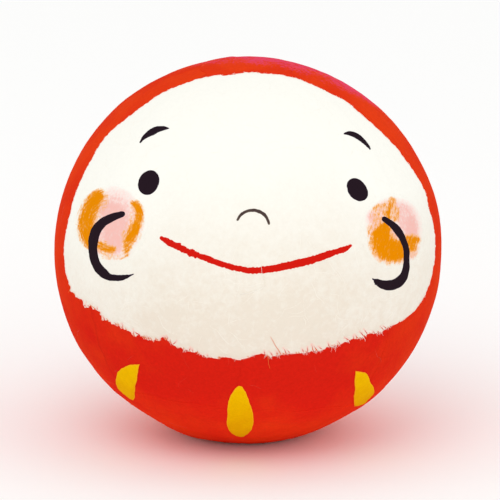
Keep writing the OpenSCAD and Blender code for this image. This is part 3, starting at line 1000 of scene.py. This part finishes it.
class DARUMA_OT_brushwork(bpy.types.Operator):
    """Brush the brows, eyes, nose, mouth and curls on the face paper"""
    bl_idname = "daruma.brushwork"
    bl_label = "Brushwork"

    def execute(self, context):
        sizes = context.scene.daruma_sizes
        film = sizes.film / MM

        def heights(way, edge):
            paper = face_top(way, sizes)
            return paper + film * (0.6 + 0.4 * smooth(edge, 0, 0.3)), paper - FILM_SUNK

        fine, eye = [(2, 0.03), (0.7, 0.02)], [(3, 0.07), (1, 0.03)]
        mouth = stroke_line(MOUTH)
        # The brush split a little on its way in
        split = smooth(-mouth[:, 0], 10.5, 11.5) * (1 - smooth(-mouth[:, 0], 14.5, 17))
        bristly = [(2.5, 0.05), (0.8, 0.05 + 0.07 * split), (0.45, 0.03 + 0.12 * split)]
        curl = stroke_line(CURL_RIGHT)
        tip = 1 - smooth(np.linalg.norm(curl - np.array(CURL_RIGHT[-1][:2]), axis=1), 0.8, 2.6)
        frayed = [(2, 0.03), (0.7, 0.02 + 0.05 * tip), (0.4, 0.05 * tip)]
        for number, (node, outline, rough, *inks) in enumerate((
                ("brow_left", stroke_line(BROW_LEFT), fine),
                ("brow_right", stroke_line(BROW_RIGHT), fine),
                ("eye_left", oval_line(EYE_LEFT), eye),
                ("eye_right", oval_line(EYE_RIGHT), eye),
                ("nose", stroke_line(NOSE, 0.1), [(1.5, 0.03), (0.5, 0.02)], "thin ink", "black_ink"),
                ("mouth", mouth, bristly, "vermilion ink", "red_ink"),
                ("curl_left", stroke_line(CURL_LEFT), fine),
                ("curl_right", curl, frayed))):
            outline = roughened(outline, rough, sizes.seed + 60 + 5 * number)
            piece, _, _ = drawn_sheet(f"brushed_{node}", outline, 0.35, INK_SEEN, heights)
            material, slot = inks or ("black ink", "black_ink")
            settle(piece, material, slot, node)
        return {"FINISHED"}


def brushed(points, strokes):
    """How much colour a list of soft strokes leaves at points given from the cheek's middle."""
    amount = np.zeros(len(points))
    for strength, stroke in strokes:
        line = spline(stroke, False, 0.25)
        reach = np.linalg.norm(points[:, None] - line[None, :, :2], axis=2) / (line[:, 2] / 2)
        amount = np.maximum(amount, strength * (1 - smooth(reach.min(1), 0.35, 1.5)))
    return amount


class DARUMA_OT_cheeks(bpy.types.Operator):
    """Wash the cheeks in pink and dab them with orange"""
    bl_idname = "daruma.cheeks"
    bl_label = "Cheeks"

    def execute(self, context):
        sizes = context.scene.daruma_sizes

        def heights(way, edge):
            paper = face_top(way, sizes)
            return paper + 0.03, paper - FILM_SUNK

        for side, oval, pink, orange in (("left", CHEEK_LEFT, LEFT_PINK, LEFT_ORANGE),
                                         ("right", CHEEK_RIGHT, RIGHT_PINK, RIGHT_ORANGE)):
            name = f"cheek_wash_{side}"
            piece, way, edge = drawn_sheet(name, oval_line(oval, 0.3), 0.3, WASH_SEEN, heights)
            points = (way @ FACE_AXES.T)[:, :2] * WASH_SEEN - np.array(oval[:2])
            fade = smooth(edge, 0.1, 1.0)
            note(piece, pink=brushed(points, pink) * fade, orange=brushed(points, orange) * fade)
            # The brush ran round the left cheek and up and down the right one
            x, y = points.T
            if side == "left":
                along, across = np.arctan2(y, x) * 7 / 8, np.linalg.norm(points, axis=1)
            else:
                along, across = y / 7 - x * 0.03, x - 0.25 * y
            brush = np.column_stack([across, along]) * MM
            corner = np.empty(len(piece.data.loops), int)
            piece.data.loops.foreach_get("vertex_index", corner)
            brush = np.vstack([brush, brush])[corner].astype(np.float32)
            piece.data.uv_layers.new(name="brush").data.foreach_set("uv", brush.ravel())
            settle(piece, "cheek watercolour on washi", "cheek_colour", f"cheek_{side}")
        return {"FINISHED"}


# ---------------------------------------------------------------- fibres, by geometry nodes


def fibre_tree(name, *own):
    """Nodes of a new tree that takes Geometry and the named inputs, and those inputs' sockets."""
    tree = bpy.data.node_groups.new(name, "GeometryNodeTree")
    kinds = {"Geometry": "Geometry", "Seed": "Int", "Material": "Material", "Centre": "Vector"}
    tree.interface.new_socket(name="Geometry", in_out="OUTPUT", socket_type="NodeSocketGeometry")
    for key in ("Geometry", "Width", "Curl", "Seed", "Material", *own):
        kind = "NodeSocket" + kinds.get(key, "Float")
        tree.interface.new_socket(name=key, in_out="INPUT", socket_type=kind)
    given = tree.nodes.new("NodeGroupInput")
    return Nodes(tree), {s.name: s for s in given.outputs if s.name}


def random_value(nodes, low, high, seed):
    feeds = {"Min_001": low, "Max_001": high, "Seed": seed}
    return nodes.add("FunctionNodeRandomValue", feeds, data_type="FLOAT")


def hairs_on(nodes, points, rotation, start, end, count, long):
    """Straight hairs of the given lengths, one on each point."""
    line = nodes.add("GeometryNodeCurvePrimitiveLine", {"Start": start, "End": end})
    line = nodes.add("GeometryNodeResampleCurve", {"Curve": line, "Count": count})
    scale = nodes.add("ShaderNodeCombineXYZ", {"X": long, "Y": long, "Z": long})
    return nodes.add("GeometryNodeInstanceOnPoints", {
        "Points": points, "Instance": line, "Rotation": rotation, "Scale": scale})


def bent(nodes, given, hairs, amount, size):
    """Bend the hairs to and fro by up to about the given amount, with bends of this many mm."""
    drift = nodes.add("ShaderNodeTexNoise", {
        "Vector": nodes.add("GeometryNodeInputPosition"), "W": given["Seed"], "Scale": per_mm(size),
        "Detail": 1.0}, out="Color", noise_dimensions="4D")
    drift = nodes.vector("SCALE", nodes.vector("SUBTRACT", drift, (0.5, 0.5, 0.5)), Scale=amount)
    return nodes.add("GeometryNodeSetPosition", {"Geometry": hairs, "Offset": drift})


def finish_fibres(nodes, given, curves, taper):
    """Turn curves into thin fibre bundles that narrow by the given factor, with their material."""
    radius = nodes.math("MULTIPLY", given["Width"], 0.5)
    profile = nodes.add("GeometryNodeCurvePrimitiveCircle", {"Resolution": 4, "Radius": radius})
    mesh = nodes.add("GeometryNodeCurveToMesh", {
        "Curve": curves, "Profile Curve": profile, "Scale": taper, "Fill Caps": True})
    mesh = nodes.add("GeometryNodeSetShadeSmooth", {"Geometry": mesh})
    mesh = nodes.add("GeometryNodeRealizeInstances", {"Geometry": mesh})
    mesh = nodes.add("GeometryNodeSetMaterial", {"Geometry": mesh, "Material": given["Material"]})
    nodes.add("NodeGroupOutput", {"Geometry": mesh})
    return nodes.tree


def fringe_tree():
    """Short fibres that stand out of a torn edge. The edge's points carry their outward and edge
    directions, and how hairy the edge is there."""
    nodes, given = fibre_tree("Torn fringe", "Length", "Spread")
    outward, along = (nodes.add("GeometryNodeInputNamedAttribute", {"Name": name}, data_type="FLOAT_VECTOR")
                      for name in ("outward", "along"))
    hairy = nodes.add("GeometryNodeInputNamedAttribute", {"Name": "hairy"}, data_type="FLOAT")
    low = nodes.math("MULTIPLY", given["Spread"], -1.0)
    angle = random_value(nodes, low, given["Spread"], given["Seed"])
    ahead = nodes.vector("SCALE", outward, Scale=nodes.math("COSINE", angle))
    aside = nodes.vector("SCALE", along, Scale=nodes.math("SINE", angle))
    way = nodes.vector("ADD", ahead, aside)
    turned = nodes.add("FunctionNodeAlignRotationToVector", {"Vector": way}, axis="X")
    long = nodes.math("MULTIPLY", given["Length"], hairy)
    long = nodes.math("MULTIPLY", long, random_value(nodes, 0.25, 1.3, 11))
    hairs = hairs_on(nodes, given["Geometry"], turned, (0, 0, 0), (1, 0, 0), 6, long)
    hairs = nodes.add("GeometryNodeRealizeInstances", {"Geometry": hairs})
    factor = nodes.add("GeometryNodeSplineParameter", out="Factor")
    hairs = bent(nodes, given, hairs, nodes.math("MULTIPLY", given["Curl"], factor), 1.2)
    return finish_fibres(nodes, given, hairs, nodes.ramp(factor, 0.0, 1.0, 1.0, 0.25))


def laid_tree():
    """Long fibres laid at random on a surface, which they follow."""
    nodes, given = fibre_tree("Laid fibres", "Length", "Density", "Lift", "Centre")
    scattered = nodes.tree.nodes.new("GeometryNodeDistributePointsOnFaces")
    for key, end in (("Density", "Density"), ("Seed", "Seed"), ("Geometry", "Mesh")):
        nodes.tree.links.new(given[key], scattered.inputs[end])
    long = nodes.math("MULTIPLY", given["Length"], random_value(nodes, 0.4, 1.5, 5))
    hairs = hairs_on(nodes, scattered.outputs["Points"], scattered.outputs["Rotation"],
                     (-0.5, 0, 0), (0.5, 0, 0), 16, long)
    spin = nodes.add("ShaderNodeCombineXYZ", {"Z": random_value(nodes, 0.0, 2 * math.pi, 6)})
    hairs = nodes.add("GeometryNodeRotateInstances", {"Instances": hairs, "Rotation": spin})
    hairs = nodes.add("GeometryNodeRealizeInstances", {"Geometry": hairs})
    hairs = bent(nodes, given, hairs, given["Curl"], 5)
    nearest = nodes.add("GeometryNodeProximity", {"Target": given["Geometry"]}, out="Position",
                        target_element="FACES")
    radial = nodes.vector("NORMALIZE", nodes.vector("SUBTRACT", nearest, given["Centre"]))
    laid = nodes.vector("ADD", nearest, nodes.vector("SCALE", radial, Scale=given["Lift"]))
    hairs = nodes.add("GeometryNodeSetPosition", {"Geometry": hairs, "Position": laid})
    # Thickest in the middle: four times the factor times what is left of it
    factor = nodes.add("GeometryNodeSplineParameter", out="Factor")
    taper = nodes.math("MULTIPLY", factor, nodes.math("SUBTRACT", 1.0, factor))
    taper = nodes.ramp(nodes.math("MULTIPLY", taper, 4.0), 0.0, 1.0, 0.2, 1.0)
    return finish_fibres(nodes, given, hairs, taper)


def loose_tree():
    """Single loose fibres along the edges of a carrier mesh."""
    nodes, given = fibre_tree("Loose fibres")
    hairs = nodes.add("GeometryNodeMeshToCurve", {"Mesh": given["Geometry"]})
    hairs = bent(nodes, given, hairs, given["Curl"], 1.5)
    factor = nodes.add("GeometryNodeSplineParameter", out="Factor")
    return finish_fibres(nodes, given, hairs, nodes.ramp(factor, 0.0, 1.0, 1.0, 0.4))


def carrier_of(points, faces, edges=(), **notes):
    """A helper mesh, in metres, that fibres grow on; notes are its named vectors or numbers."""
    mesh = bpy.data.meshes.new("carrier")
    mesh.from_pydata(np.asarray(points).tolist(), list(edges), faces)
    for key, values in notes.items():
        values = np.asarray(values, np.float32)
        kind, field = ("FLOAT_VECTOR", "vector") if values.ndim == 2 else ("FLOAT", "value")
        mesh.attributes.new(key, kind, "POINT").data.foreach_set(field, values.ravel())
    return in_scene("carrier", mesh)


def grow(name, carrier, tree, fibre, slot, **values):
    """Run a tree on a carrier mesh, and settle its result as a plain piece."""
    values["Material"] = bpy.data.materials[fibre]
    modifier = carrier.modifiers.new(tree.name, "NODES")
    modifier.node_group = tree
    for item in tree.interface.items_tree:
        if item.in_out == "INPUT" and item.name in values:
            modifier[item.identifier] = values[item.name]
    graph = bpy.context.evaluated_depsgraph_get()
    mesh = bpy.data.meshes.new_from_object(carrier.evaluated_get(graph), depsgraph=graph)
    mesh.name = name
    piece = in_scene(name, mesh)
    carrier.modifiers.clear()
    shape = carrier.data
    bpy.data.objects.remove(carrier)
    bpy.data.meshes.remove(shape)
    if not len(mesh.polygons):
        raise RuntimeError(f"{name} grew no fibres")
    settle(piece, fibre, slot)


class DARUMA_OT_fringe(bpy.types.Operator):
    """Pull the fibres out along the torn edge of the face"""
    bl_idname = "daruma.fringe"
    bl_label = "Torn fringe"

    def execute(self, context):
        sizes = context.scene.daruma_sizes
        outline = even(face_outline(sizes), 0.14)
        if signed_area(outline) < 0:
            outline = outline[::-1]
        way = from_drawing(outline, PAPER_SEEN)
        points = placed(way, BALL_R + swell(way) + seam_laps(way, sizes) + 0.06)
        along = unit(np.roll(points, -1, 0) - np.roll(points, 1, 0))
        outward = unit(np.cross(along, way))
        ragged = raggedness(outline)
        side = smooth(-outline[:, 0], 30, 38) * smooth(-outline[:, 1], 4, 14)
        clumps = 0.65 + 0.45 * waves(in_space(outline), 2.2, sizes.seed + 80)
        hairy = np.clip((0.28 + 0.55 * ragged + 0.3 * side) * clumps, 0.1, 1.2)
        # The tufts lean to the drawing's right, where the slits beside them lean to its left
        leaning = unit(outward + 0.55 * ragged[:, None] * np.array([1, 0, -0.2]))
        # Pulled back so that each fibre starts inside the sheet
        points = points - outward * 0.22 * MM
        carrier = carrier_of(points, [], outward=leaning, along=along, hairy=hairy)
        grow("face_fringe", carrier, fringe_tree(), "kozo fibre", "white_washi",
             Length=sizes.fringe, Width=1.2 * sizes.fibre_width, Spread=math.radians(32),
             Curl=0.9 * MM, Seed=sizes.seed)

        # Here and there a dyed fibre of the sheet below was pulled up over the white
        rng = np.random.default_rng(sizes.seed + 90)
        chosen = rng.random(len(outline)) < 0.11 * ragged
        inwards = unit(-outward + np.array([-0.8, 0, 0.1]))
        carrier = carrier_of((points + 0.1 * MM * (outward + way))[chosen], [], outward=inwards[chosen],
                             along=along[chosen], hairy=0.4 + 0.5 * ragged[chosen])
        grow("lifted_fibres", carrier, fringe_tree(), "orange kozo fibre", "red_washi",
             Length=sizes.fringe, Width=2.2 * sizes.fibre_width, Spread=math.radians(25),
             Curl=0.7 * MM, Seed=sizes.seed + 3)
        return {"FINISHED"}


class DARUMA_OT_fibres(bpy.types.Operator):
    """Lay the long kozo fibres in the face paper and in the red strips"""
    bl_idname = "daruma.fibres"
    bl_label = "Long fibres"

    def execute(self, context):
        sizes = context.scene.daruma_sizes
        tree = laid_tree()
        common = {"Centre": tuple(CENTRE * MM), "Width": sizes.fibre_width}
        inner = face_outline(sizes) * 0.965
        flat, faces = cut_sheet(even(flatten(from_drawing(inner), FACE_CHART), 0.6), 0.9)
        way = wrap(flat, FACE_CHART)
        grow("face_fibres", carrier_of(placed(way, face_top(way, sizes)), faces), tree,
             "kozo fibre", "white_washi", **common, Density=3e4, Length=sizes.fibre, Curl=5 * MM,
             Lift=-0.02 * MM, Seed=sizes.seed)
        latitude = np.linspace(math.radians(-68), math.radians(80), 120)[:, None]
        azimuth = np.linspace(-math.pi, math.pi, 240, endpoint=False)[None, :]
        way = towards(azimuth, latitude)
        level = placed(way, red_top(way) + seam_laps(way, sizes)).reshape(-1, 3)
        grow("strip_fibres", carrier_of(level, grid_faces(120, 240, closed=True)), tree,
             "dyed kozo fibre", "red_washi", **common, Density=6e3, Length=0.7 * sizes.fibre,
             Curl=4 * MM, Lift=-0.015 * MM, Seed=sizes.seed + 1)
        for name, lines, fibre, slot, width in (
                ("loose_white_fibres", WHITE_HAIRS, "kozo fibre", "white_washi", 1.6),
                ("loose_red_fibres", RED_HAIRS, "orange kozo fibre", "red_washi", 1.8)):
            points, edges = np.empty((0, 3)), []
            for line in lines:
                way = from_drawing(spline(line, False, 0.3), WASH_SEEN)
                edges += [(len(points) + k, len(points) + k + 1) for k in range(len(way) - 1)]
                over = face_top(way, sizes) + sizes.film / MM + 0.02
                points = np.vstack([points, placed(way, over)])
            grow(name, carrier_of(points, [], edges), loose_tree(), fibre, slot,
                 Width=width * sizes.fibre_width, Curl=0.5 * MM, Seed=sizes.seed)
        return {"FINISHED"}


# ---------------------------------------------------------------- what lies inside, and the stage


class DARUMA_OT_inside(bpy.types.Operator):
    """Finish the shells, the weight and the papers inside the doll"""
    bl_idname = "daruma.inside"
    bl_label = "Inside"

    def execute(self, context):
        for name, light, dark, grain, rough, *nodes in (
                ("papier-mache", "#D3C3A4", "#A89272", 2.5, 0.9, "upper_shell", "lower_shell"),
                ("lining paper", "#EEE7D8", "#DBD0B8", 4, 0.85, "seam_strip", "weight_paper"),
                ("air-dried clay", "#94806A", "#75614C", 1.2, 0.95, "base_weight"),
                ("grey card", "#C4AE88", "#A98F68", 0.8, 0.9, "foot_card")):
            layered_pulp(name, srgb(light), srgb(dark), grain, rough)
            for node in nodes:
                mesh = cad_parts[node].data
                mesh.materials.clear()
                mesh.materials.append(bpy.data.materials[name])
        return {"FINISHED"}


class DARUMA_OT_materials(bpy.types.Operator):
    """Make the papers, inks and washes"""
    bl_idname = "daruma.materials"
    bl_label = "Materials"

    def execute(self, context):
        colours = context.scene.daruma_colours
        for make in (dyed_washi, face_washi, cheek_wash, yellow_washi):
            make(colours)
        brushed_ink("black ink", colours.ink, srgb("#3A2A44"), 0.2)
        brushed_ink("thin ink", colours.ink_thin, srgb("#6A5B4E"), 0.25)
        brushed_ink("vermilion ink", colours.vermilion, srgb("#D8402C"), 0.2)
        kozo_fibre("kozo fibre", srgb("#FFFEFA"), srgb("#F6EDDB"))
        kozo_fibre("dyed kozo fibre", srgb("#DE3A20"), srgb("#CF1C14"))
        kozo_fibre("orange kozo fibre", srgb("#F0902A"), srgb("#E4481C"))
        return {"FINISHED"}


def area_light(name, place, size, power):
    """A soft, round light that shines at the ball's centre."""
    light = bpy.data.lights.new(name, "AREA")
    light.shape = "DISK"
    light.size = size
    light.energy = power
    lamp = in_scene(name, light)
    lamp.location = place
    lamp.rotation_euler = (Vector(CENTRE * MM) - Vector(place)).to_track_quat("-Z", "Y").to_euler()


class DARUMA_OT_stage(bpy.types.Operator):
    """Set the pale floor, the soft lights and the camera"""
    bl_idname = "daruma.stage"
    bl_label = "Stage"

    def execute(self, context):
        scene = context.scene
        stage = scene.daruma_stage
        half = FLOOR_SIDE / 2
        mesh = bpy.data.meshes.new("floor")
        corners = [(-half, -half, 0), (half, -half, 0), (half, half, 0), (-half, half, 0)]
        mesh.from_pydata(corners, [], [(0, 1, 2, 3)])
        paper = Paper("paper backdrop", 0.9)
        paper.shader.inputs["Base Color"].default_value = scene.daruma_colours.floor
        mesh.materials.append(paper.material)
        in_scene("floor", mesh)

        world = bpy.data.worlds.new("studio")
        scene.world = world
        world.use_nodes = True
        sky = world.node_tree.nodes["Background"]
        sky.inputs["Color"].default_value = (1, 1, 1, 1)
        sky.inputs["Strength"].default_value = stage.ambient

        area_light("key", (-0.25, -0.75, 1.1), 0.9, stage.key)
        area_light("fill", (0.9, -0.8, 0.45), 0.9, stage.fill)
        area_light("low fill", (-0.1, -1.1, 0.05), 0.8, stage.low_fill)

        up = Vector((0, math.sin(stage.elevation), math.cos(stage.elevation)))
        back = Vector((0, -math.cos(stage.elevation), math.sin(stage.elevation)))
        camera = bpy.data.cameras.new("camera")
        camera.sensor_width = 36
        camera.lens = camera.sensor_width * stage.distance / stage.frame_width
        camera.clip_end = 20
        view = in_scene("camera", camera)
        # The ball sits half a millimetre left of the picture's middle
        aside = Vector((0.54 * MM, 0, 0)) + up * 0.07 * MM
        view.location = Vector(CENTRE * MM) + back * stage.distance + aside
        view.rotation_euler = (math.pi / 2 - stage.elevation, 0, 0)
        scene.camera = view
        scene.view_settings.view_transform = "Standard"
        return {"FINISHED"}


class DARUMA_PT_panel(bpy.types.Panel):
    """The daruma's steps, in the order in which they are made"""
    bl_idname = "DARUMA_PT_panel"
    bl_label = "Washi daruma"
    bl_space_type = "VIEW_3D"
    bl_region_type = "UI"
    bl_category = "Daruma"

    def draw(self, context):
        for step in STEPS:
            self.layout.operator(step.bl_idname)
        for group in (context.scene.daruma_sizes, context.scene.daruma_colours, context.scene.daruma_stage):
            box = self.layout.box()
            for key in group.__annotations__:
                box.prop(group, key)


GROUPS = {"daruma_sizes": DarumaSizes, "daruma_colours": DarumaColours, "daruma_stage": DarumaStage}
STEPS = (
    DARUMA_OT_stage, DARUMA_OT_materials, DARUMA_OT_inside, DARUMA_OT_strips, DARUMA_OT_base_paper,
    DARUMA_OT_crown_paper, DARUMA_OT_foot_patch, DARUMA_OT_face_paper, DARUMA_OT_fringe,
    DARUMA_OT_fibres, DARUMA_OT_petals, DARUMA_OT_cheeks, DARUMA_OT_brushwork,
)


def register():
    for part in (*GROUPS.values(), *STEPS, DARUMA_PT_panel):
        bpy.utils.register_class(part)
    for name, group in GROUPS.items():
        setattr(bpy.types.Scene, name, PointerProperty(type=group))


def unregister():
    for name in GROUPS:
        delattr(bpy.types.Scene, name)
    for part in reversed((*GROUPS.values(), *STEPS, DARUMA_PT_panel)):
        bpy.utils.unregister_class(part)


def main():
    register()
    for step in STEPS:
        group, name = step.bl_idname.split(".")
        getattr(getattr(bpy.ops, group), name)()


if __name__ == "__main__":
    main()
